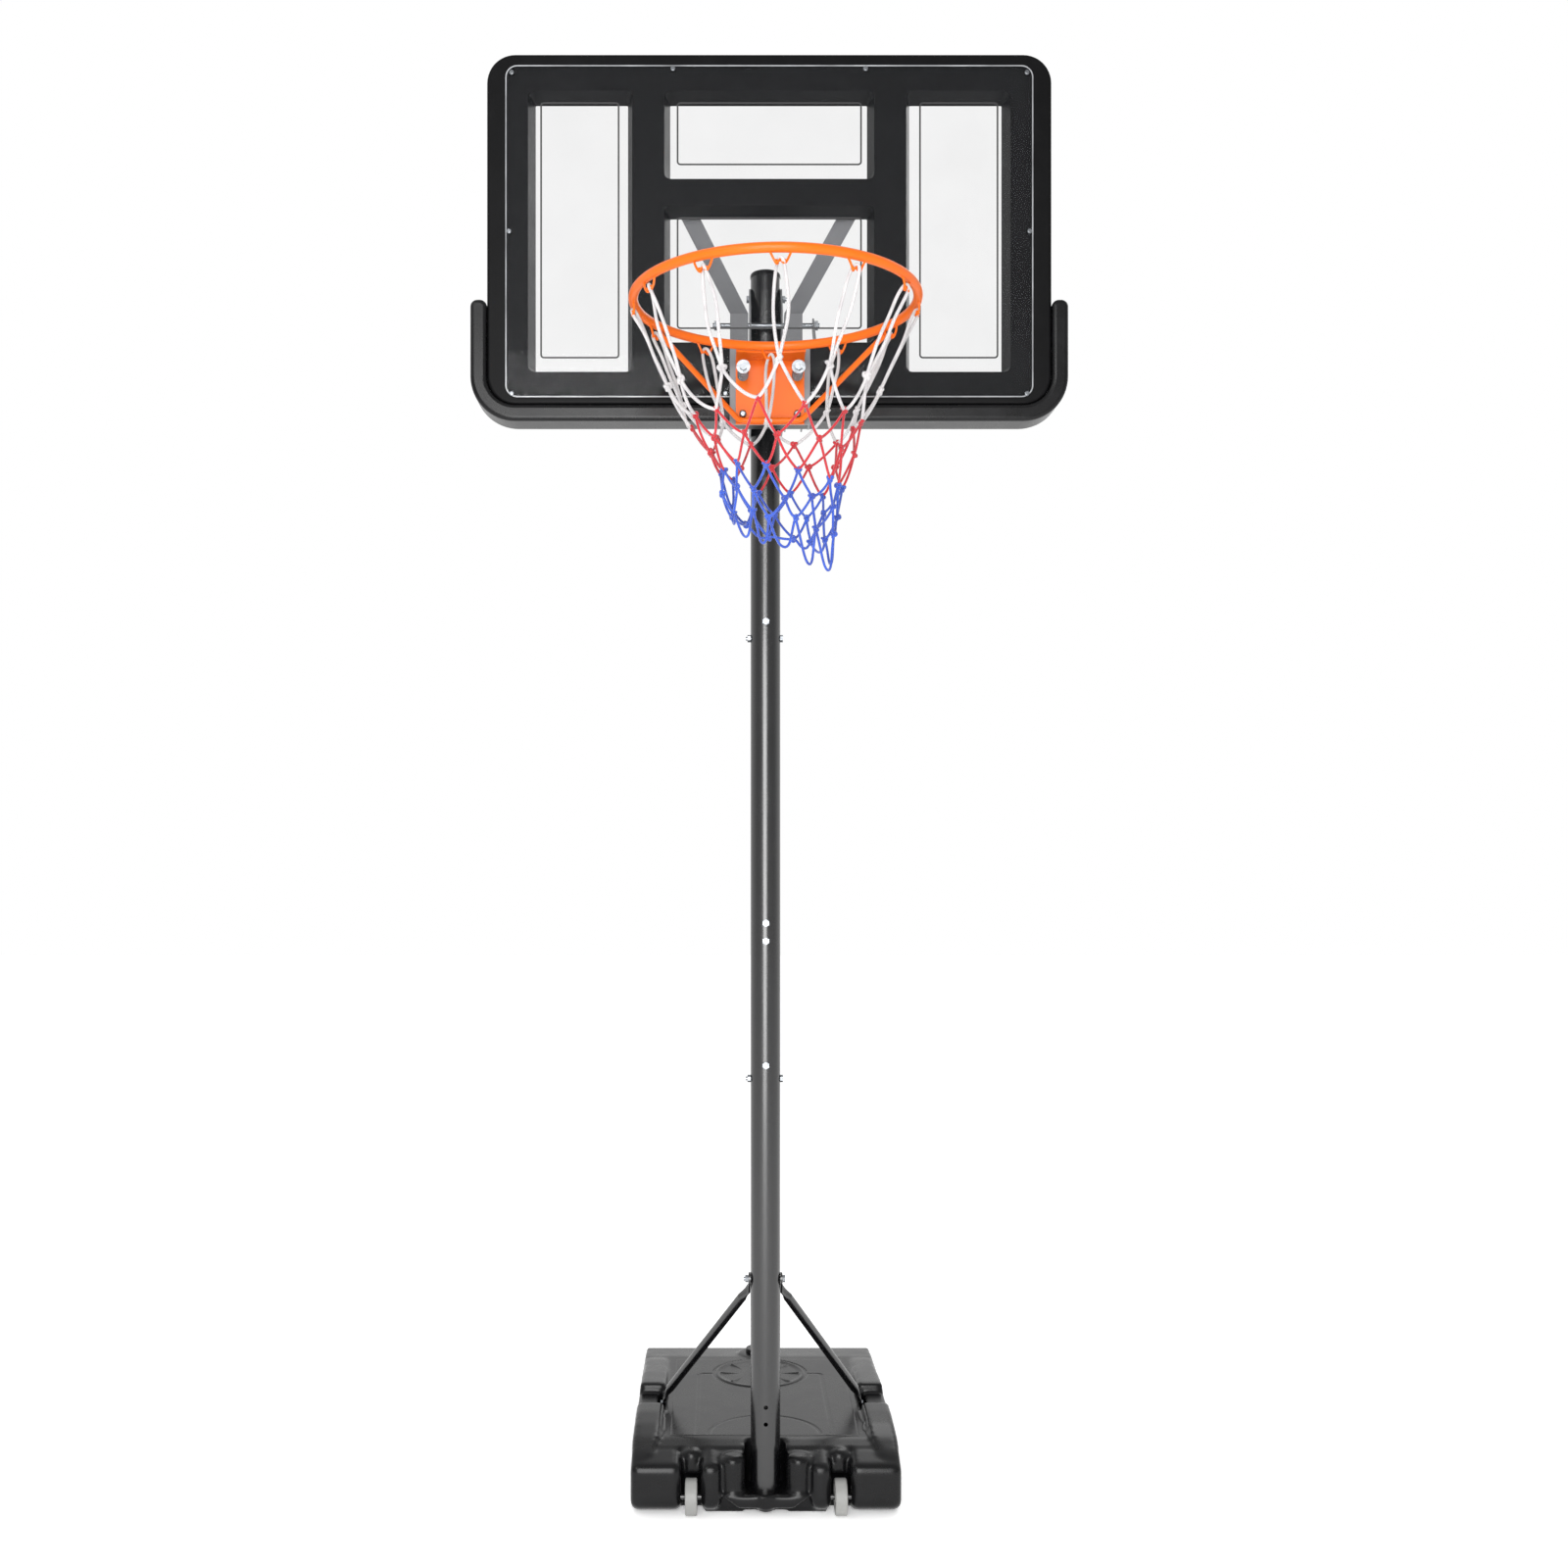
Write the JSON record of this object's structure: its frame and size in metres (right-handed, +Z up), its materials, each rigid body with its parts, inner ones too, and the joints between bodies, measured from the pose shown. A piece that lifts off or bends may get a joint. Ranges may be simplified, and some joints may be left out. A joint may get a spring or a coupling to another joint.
{
  "type": "portable basketball hoop",
  "caption": "Freestanding basketball hoop: water-filled wheeled base, three-piece pole with struts, framed clear backboard and sprung breakaway rim with a net.",
  "frame": {"origin": "on the floor, under the pole's axis", "axes": "+X to the right of someone facing the front of the hoop's board, +Y from the board towards the rear of the base, +Z up"},
  "size_m": [1.118, 1.5895, 2.821],
  "materials": {
    "pole_paint": "satin",
    "zinc_steel": "satin",
    "black_plastic": "satin",
    "frame_plastic": "matte",
    "clear_plastic": "gloss",
    "bracket_paint": "matte",
    "rim_paint": "satin",
    "net_cord": "matte",
    "wheel_plastic": "satin",
    "water": "gloss"
  },
  "bodies": {
    "hoop": {"arm_screws": "zinc_steel", "ballast_water": "water", "base_tank": "black_plastic", "board_arm_left": "bracket_paint", "board_arm_right": "bracket_paint", "board_bumper": "black_plastic", "board_frame": "frame_plastic", "board_stay_left": "bracket_paint", "board_stay_right": "bracket_paint", "bracket_bolts": "zinc_steel", "bracket_nuts": "zinc_steel", "clear_panel": "clear_plastic", "lower_pole": "pole_paint", "lower_rim_bolts": "zinc_steel", "mid_pole": "pole_paint", "panel_screws": "zinc_steel", "pole_bolts": "zinc_steel", "pole_bracket_left": "bracket_paint", "pole_bracket_right": "bracket_paint", "pole_cap": "black_plastic", "pole_nuts": "zinc_steel", "rear_plate": "bracket_paint", "rim_mount": "bracket_paint", "rim_mount_bolts": "zinc_steel", "rim_mount_nuts": "zinc_steel", "rim_nuts": "zinc_steel", "rim_spring_left": "zinc_steel", "rim_spring_right": "zinc_steel", "spring_bolts": "zinc_steel", "spring_washers": "zinc_steel", "strut_foot_bolts": "zinc_steel", "strut_left": "pole_paint", "strut_right": "pole_paint", "strut_top_bolt": "zinc_steel", "strut_top_nut": "zinc_steel", "tie_nuts": "zinc_steel", "tie_rod": "zinc_steel", "upper_pole": "pole_paint", "wheel_axle_left": "zinc_steel", "wheel_axle_right": "zinc_steel"},
    "rim": {"rim_ring": "rim_paint", "rim_plate": "rim_paint", "rim_brace": "rim_paint", "net_hooks": "rim_paint", "net": "net_cord"},
    "wheel_left": {"wheel_left": "wheel_plastic"},
    "wheel_right": {"wheel_right": "wheel_plastic"},
    "fill_cap": {"fill_cap": "black_plastic"}
  },
  "joints": [
    {"name": "rim_flex", "type": "hinge", "parent": "hoop", "child": "rim", "pos_m": [0, -0.3003, 2.117], "axis": [1, 0, 0], "range_deg": [0, 6], "stiffness_Nm_per_rad": 280, "springref_deg": -6.88, "deforming": ["rim_spring_left", "rim_spring_right"]},
    {"name": "wheel_left_spin", "type": "hinge", "parent": "hoop", "child": "wheel_left", "pos_m": [-0.15, -0.035, 0.037], "axis": [1, 0, 0], "continuous": true},
    {"name": "wheel_right_spin", "type": "hinge", "parent": "hoop", "child": "wheel_right", "pos_m": [0.15, -0.035, 0.037], "axis": [1, 0, 0], "continuous": true},
    {"name": "fill_cap_lift", "type": "slide", "parent": "hoop", "child": "fill_cap", "axis": [0, 0, 1], "range_m": [0, 0.05]}
  ]
}
